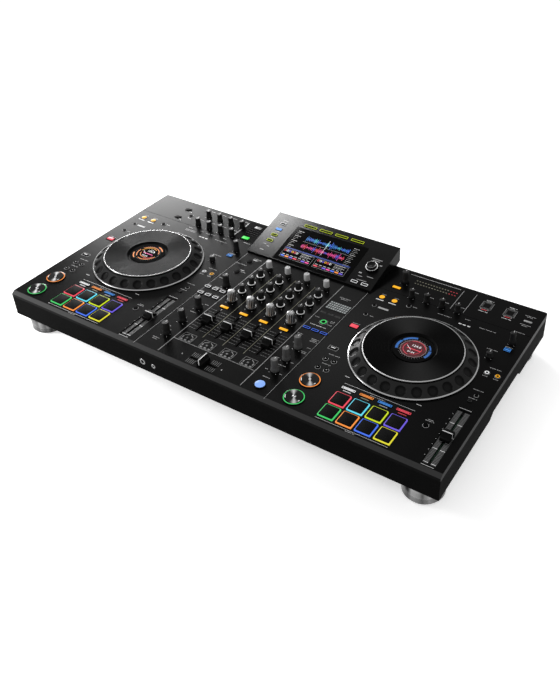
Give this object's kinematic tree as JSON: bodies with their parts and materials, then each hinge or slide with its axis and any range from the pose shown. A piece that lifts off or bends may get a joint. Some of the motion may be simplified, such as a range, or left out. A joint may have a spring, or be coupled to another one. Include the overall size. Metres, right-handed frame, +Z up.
{
  "type": "all-in-one dj system",
  "caption": "Standalone DJ console: two jog wheel decks with lit pads, a mixer with knobs and faders between them, and a raised touch screen behind.",
  "frame": {"origin": "centre of the bounding box footprint, on the floor under the feet", "axes": "+X to the user's right along the width, +Y to the back where the screen stands, +Z up"},
  "size_m": [0.8784, 0.4536, 0.1162],
  "materials": {
    "case_plastic": "fine grained dark moulded plastic",
    "deck_panel": "satin black brushed face with a bright front bevel",
    "housing_grey": "satin grey",
    "screen_glass": "dark glossy display glass",
    "foot_silver": "satin silver drum on a dark sole",
    "socket_black": "black moulding with metal contacts",
    "inner_parts": "boards and moulded carriers",
    "key_plastic": "translucent keys with lit edges",
    "jog_top": "satin black with a fine grain",
    "jog_side": "semi gloss black with a silver foot",
    "button_gloss": "dark cap in a lit ring",
    "pad_rubber": "soft translucent rubber, lit from below",
    "fader_cap": "black cap with a white line",
    "knob_rubber": "soft touch black with a white line",
    "knob_silver": "silver grip on a dark skirt"
  },
  "bodies": {
    "console": {"lower_case": "case_plastic", "top_panel": "deck_panel", "screen_housing": "housing_grey", "screen_glass": "screen_glass", "feet": "foot_silver", "rear_sockets": "socket_black", "panel_sockets": "socket_black", "jog_hubs": "inner_parts", "jog_displays": "screen_glass", "circuit_boards": "inner_parts", "key_caps": "key_plastic", "strip_knobs": "knob_rubber"},
    "jog_wheel_left": {"jog_platter_left": "jog_top", "jog_rim_left": "jog_side"},
    "jog_wheel_right": {"jog_platter_right": "jog_top", "jog_rim_right": "jog_side"},
    "play_button_left": {"play_button_left": "button_gloss"},
    "cue_button_left": {"cue_button_left": "button_gloss"},
    "play_button_right": {"play_button_right": "button_gloss"},
    "cue_button_right": {"cue_button_right": "button_gloss"},
    "pads_left": {"pads_left": "pad_rubber"},
    "pads_right": {"pads_right": "pad_rubber"},
    "tempo_slider_left": {"tempo_slider_left": "fader_cap"},
    "tempo_slider_right": {"tempo_slider_right": "fader_cap"},
    "channel_fader_1": {"channel_fader_1": "fader_cap"},
    "channel_fader_2": {"channel_fader_2": "fader_cap"},
    "channel_fader_3": {"channel_fader_3": "fader_cap"},
    "channel_fader_4": {"channel_fader_4": "fader_cap"},
    "crossfader": {"crossfader": "fader_cap"},
    "trim_knob_1": {"trim_knob_1": "knob_rubber"},
    "eq_high_knob_1": {"eq_high_knob_1": "knob_rubber"},
    "eq_mid_knob_1": {"eq_mid_knob_1": "knob_rubber"},
    "eq_low_knob_1": {"eq_low_knob_1": "knob_rubber"},
    "colour_knob_1": {"colour_knob_1": "knob_silver"},
    "trim_knob_2": {"trim_knob_2": "knob_rubber"},
    "eq_high_knob_2": {"eq_high_knob_2": "knob_rubber"},
    "eq_mid_knob_2": {"eq_mid_knob_2": "knob_rubber"},
    "eq_low_knob_2": {"eq_low_knob_2": "knob_rubber"},
    "colour_knob_2": {"colour_knob_2": "knob_silver"},
    "trim_knob_3": {"trim_knob_3": "knob_rubber"},
    "eq_high_knob_3": {"eq_high_knob_3": "knob_rubber"},
    "eq_mid_knob_3": {"eq_mid_knob_3": "knob_rubber"},
    "eq_low_knob_3": {"eq_low_knob_3": "knob_rubber"},
    "colour_knob_3": {"colour_knob_3": "knob_silver"},
    "trim_knob_4": {"trim_knob_4": "knob_rubber"},
    "eq_high_knob_4": {"eq_high_knob_4": "knob_rubber"},
    "eq_mid_knob_4": {"eq_mid_knob_4": "knob_rubber"},
    "eq_low_knob_4": {"eq_low_knob_4": "knob_rubber"},
    "colour_knob_4": {"colour_knob_4": "knob_silver"},
    "fx_select_knob": {"fx_select_knob": "knob_rubber"},
    "fx_time_knob": {"fx_time_knob": "knob_rubber"},
    "fx_level_knob": {"fx_level_knob": "knob_rubber"},
    "fx_on_button": {"fx_on_button": "key_plastic"},
    "colour_depth_knob": {"colour_depth_knob": "knob_rubber"},
    "parameter_knob": {"parameter_knob": "knob_rubber"},
    "cue_mix_knob": {"cue_mix_knob": "knob_rubber"},
    "phones_level_knob": {"phones_level_knob": "knob_rubber"},
    "master_level_knob": {"master_level_knob": "knob_rubber"},
    "browse_dial": {"browse_dial": "knob_rubber"},
    "power_switch": {"power_switch": "socket_black"}
  },
  "joints": [
    {"name": "jog_wheel_left_spin", "type": "hinge", "parent": "console", "child": "jog_wheel_left", "pos_m": [-0.289, -0.01425, 0.0907], "axis": [0, 0, 1], "continuous": true},
    {"name": "jog_wheel_right_spin", "type": "hinge", "parent": "console", "child": "jog_wheel_right", "pos_m": [0.289, -0.01425, 0.0907], "axis": [0, 0, 1], "continuous": true},
    {"name": "play_button_left_press", "type": "slide", "parent": "console", "child": "play_button_left", "axis": [0, 0, -1], "range_m": [0, 0.0008], "stiffness_N_per_m": 2000, "springref_m": -0.001},
    {"name": "cue_button_left_press", "type": "slide", "parent": "console", "child": "cue_button_left", "axis": [0, 0, -1], "range_m": [0, 0.0008], "stiffness_N_per_m": 2000, "springref_m": -0.001},
    {"name": "play_button_right_press", "type": "slide", "parent": "console", "child": "play_button_right", "axis": [0, 0, -1], "range_m": [0, 0.0008], "stiffness_N_per_m": 2000, "springref_m": -0.001},
    {"name": "cue_button_right_press", "type": "slide", "parent": "console", "child": "cue_button_right", "axis": [0, 0, -1], "range_m": [0, 0.0008], "stiffness_N_per_m": 2000, "springref_m": -0.001},
    {"name": "pads_left_press", "type": "slide", "parent": "console", "child": "pads_left", "axis": [0, 0, -1], "range_m": [0, 0.0008], "stiffness_N_per_m": 4000, "springref_m": -0.001},
    {"name": "pads_right_press", "type": "slide", "parent": "console", "child": "pads_right", "axis": [0, 0, -1], "range_m": [0, 0.0008], "stiffness_N_per_m": 4000, "springref_m": -0.001},
    {"name": "tempo_slider_left_slide", "type": "slide", "parent": "console", "child": "tempo_slider_left", "axis": [0, 1, 0], "range_m": [-0.05, 0.05]},
    {"name": "tempo_slider_right_slide", "type": "slide", "parent": "console", "child": "tempo_slider_right", "axis": [0, 1, 0], "range_m": [-0.05, 0.05]},
    {"name": "channel_fader_1_slide", "type": "slide", "parent": "console", "child": "channel_fader_1", "axis": [0, 1, 0], "range_m": [-0.03, 0.03]},
    {"name": "channel_fader_2_slide", "type": "slide", "parent": "console", "child": "channel_fader_2", "axis": [0, 1, 0], "range_m": [-0.03, 0.03]},
    {"name": "channel_fader_3_slide", "type": "slide", "parent": "console", "child": "channel_fader_3", "axis": [0, 1, 0], "range_m": [-0.03, 0.03]},
    {"name": "channel_fader_4_slide", "type": "slide", "parent": "console", "child": "channel_fader_4", "axis": [0, 1, 0], "range_m": [-0.03, 0.03]},
    {"name": "crossfader_slide", "type": "slide", "parent": "console", "child": "crossfader", "axis": [1, 0, 0], "range_m": [-0.0225, 0.0225]},
    {"name": "trim_knob_1_turn", "type": "hinge", "parent": "console", "child": "trim_knob_1", "pos_m": [-0.0645, 0.07825, 0.0907], "axis": [0, 0, 1], "range_deg": [-140, 140]},
    {"name": "eq_high_knob_1_turn", "type": "hinge", "parent": "console", "child": "eq_high_knob_1", "pos_m": [-0.0645, 0.04925, 0.0907], "axis": [0, 0, 1], "range_deg": [-140, 140]},
    {"name": "eq_mid_knob_1_turn", "type": "hinge", "parent": "console", "child": "eq_mid_knob_1", "pos_m": [-0.0645, 0.02025, 0.0907], "axis": [0, 0, 1], "range_deg": [-140, 140]},
    {"name": "eq_low_knob_1_turn", "type": "hinge", "parent": "console", "child": "eq_low_knob_1", "pos_m": [-0.0645, -0.00925, 0.0907], "axis": [0, 0, 1], "range_deg": [-140, 140]},
    {"name": "colour_knob_1_turn", "type": "hinge", "parent": "console", "child": "colour_knob_1", "pos_m": [-0.0645, -0.03975, 0.0907], "axis": [0, 0, 1], "range_deg": [-140, 140]},
    {"name": "trim_knob_2_turn", "type": "hinge", "parent": "console", "child": "trim_knob_2", "pos_m": [-0.0215, 0.07825, 0.0907], "axis": [0, 0, 1], "range_deg": [-140, 140]},
    {"name": "eq_high_knob_2_turn", "type": "hinge", "parent": "console", "child": "eq_high_knob_2", "pos_m": [-0.0215, 0.04925, 0.0907], "axis": [0, 0, 1], "range_deg": [-140, 140]},
    {"name": "eq_mid_knob_2_turn", "type": "hinge", "parent": "console", "child": "eq_mid_knob_2", "pos_m": [-0.0215, 0.02025, 0.0907], "axis": [0, 0, 1], "range_deg": [-140, 140]},
    {"name": "eq_low_knob_2_turn", "type": "hinge", "parent": "console", "child": "eq_low_knob_2", "pos_m": [-0.0215, -0.00925, 0.0907], "axis": [0, 0, 1], "range_deg": [-140, 140]},
    {"name": "colour_knob_2_turn", "type": "hinge", "parent": "console", "child": "colour_knob_2", "pos_m": [-0.0215, -0.03975, 0.0907], "axis": [0, 0, 1], "range_deg": [-140, 140]},
    {"name": "trim_knob_3_turn", "type": "hinge", "parent": "console", "child": "trim_knob_3", "pos_m": [0.0215, 0.07825, 0.0907], "axis": [0, 0, 1], "range_deg": [-140, 140]},
    {"name": "eq_high_knob_3_turn", "type": "hinge", "parent": "console", "child": "eq_high_knob_3", "pos_m": [0.0215, 0.04925, 0.0907], "axis": [0, 0, 1], "range_deg": [-140, 140]},
    {"name": "eq_mid_knob_3_turn", "type": "hinge", "parent": "console", "child": "eq_mid_knob_3", "pos_m": [0.0215, 0.02025, 0.0907], "axis": [0, 0, 1], "range_deg": [-140, 140]},
    {"name": "eq_low_knob_3_turn", "type": "hinge", "parent": "console", "child": "eq_low_knob_3", "pos_m": [0.0215, -0.00925, 0.0907], "axis": [0, 0, 1], "range_deg": [-140, 140]},
    {"name": "colour_knob_3_turn", "type": "hinge", "parent": "console", "child": "colour_knob_3", "pos_m": [0.0215, -0.03975, 0.0907], "axis": [0, 0, 1], "range_deg": [-140, 140]},
    {"name": "trim_knob_4_turn", "type": "hinge", "parent": "console", "child": "trim_knob_4", "pos_m": [0.0645, 0.07825, 0.0907], "axis": [0, 0, 1], "range_deg": [-140, 140]},
    {"name": "eq_high_knob_4_turn", "type": "hinge", "parent": "console", "child": "eq_high_knob_4", "pos_m": [0.0645, 0.04925, 0.0907], "axis": [0, 0, 1], "range_deg": [-140, 140]},
    {"name": "eq_mid_knob_4_turn", "type": "hinge", "parent": "console", "child": "eq_mid_knob_4", "pos_m": [0.0645, 0.02025, 0.0907], "axis": [0, 0, 1], "range_deg": [-140, 140]},
    {"name": "eq_low_knob_4_turn", "type": "hinge", "parent": "console", "child": "eq_low_knob_4", "pos_m": [0.0645, -0.00925, 0.0907], "axis": [0, 0, 1], "range_deg": [-140, 140]},
    {"name": "colour_knob_4_turn", "type": "hinge", "parent": "console", "child": "colour_knob_4", "pos_m": [0.0645, -0.03975, 0.0907], "axis": [0, 0, 1], "range_deg": [-140, 140]},
    {"name": "fx_select_knob_turn", "type": "hinge", "parent": "console", "child": "fx_select_knob", "pos_m": [0.113, -0.09075, 0.0907], "axis": [0, 0, 1], "range_deg": [-140, 140]},
    {"name": "fx_time_knob_turn", "type": "hinge", "parent": "console", "child": "fx_time_knob", "pos_m": [0.113, -0.12575, 0.0907], "axis": [0, 0, 1], "range_deg": [-140, 140]},
    {"name": "fx_level_knob_turn", "type": "hinge", "parent": "console", "child": "fx_level_knob", "pos_m": [0.113, -0.15875, 0.0907], "axis": [0, 0, 1], "range_deg": [-140, 140]},
    {"name": "fx_on_button_press", "type": "slide", "parent": "console", "child": "fx_on_button", "axis": [0, 0, -1], "range_m": [0, 0.0008], "stiffness_N_per_m": 2000, "springref_m": -0.001},
    {"name": "colour_depth_knob_turn", "type": "hinge", "parent": "console", "child": "colour_depth_knob", "pos_m": [-0.104, -0.00575, 0.0907], "axis": [0, 0, 1], "range_deg": [-140, 140]},
    {"name": "parameter_knob_turn", "type": "hinge", "parent": "console", "child": "parameter_knob", "pos_m": [-0.104, -0.08675, 0.0907], "axis": [0, 0, 1], "range_deg": [-140, 140]},
    {"name": "cue_mix_knob_turn", "type": "hinge", "parent": "console", "child": "cue_mix_knob", "pos_m": [-0.104, -0.13175, 0.0907], "axis": [0, 0, 1], "range_deg": [-140, 140]},
    {"name": "phones_level_knob_turn", "type": "hinge", "parent": "console", "child": "phones_level_knob", "pos_m": [-0.104, -0.17375, 0.0907], "axis": [0, 0, 1], "range_deg": [-140, 140]},
    {"name": "master_level_knob_turn", "type": "hinge", "parent": "console", "child": "master_level_knob", "pos_m": [0.179, 0.17325, 0.0907], "axis": [0, 0, 1], "range_deg": [-140, 140]},
    {"name": "browse_dial_turn", "type": "hinge", "parent": "console", "child": "browse_dial", "pos_m": [0.115, 0.15968, 0.09936], "axis": [0, -0.2435, 0.9699], "continuous": true},
    {"name": "power_switch_rock", "type": "hinge", "parent": "console", "child": "power_switch", "pos_m": [-0.35, 0.21175, 0.053], "axis": [0, 0, 1], "range_deg": [-14, 0]}
  ]
}
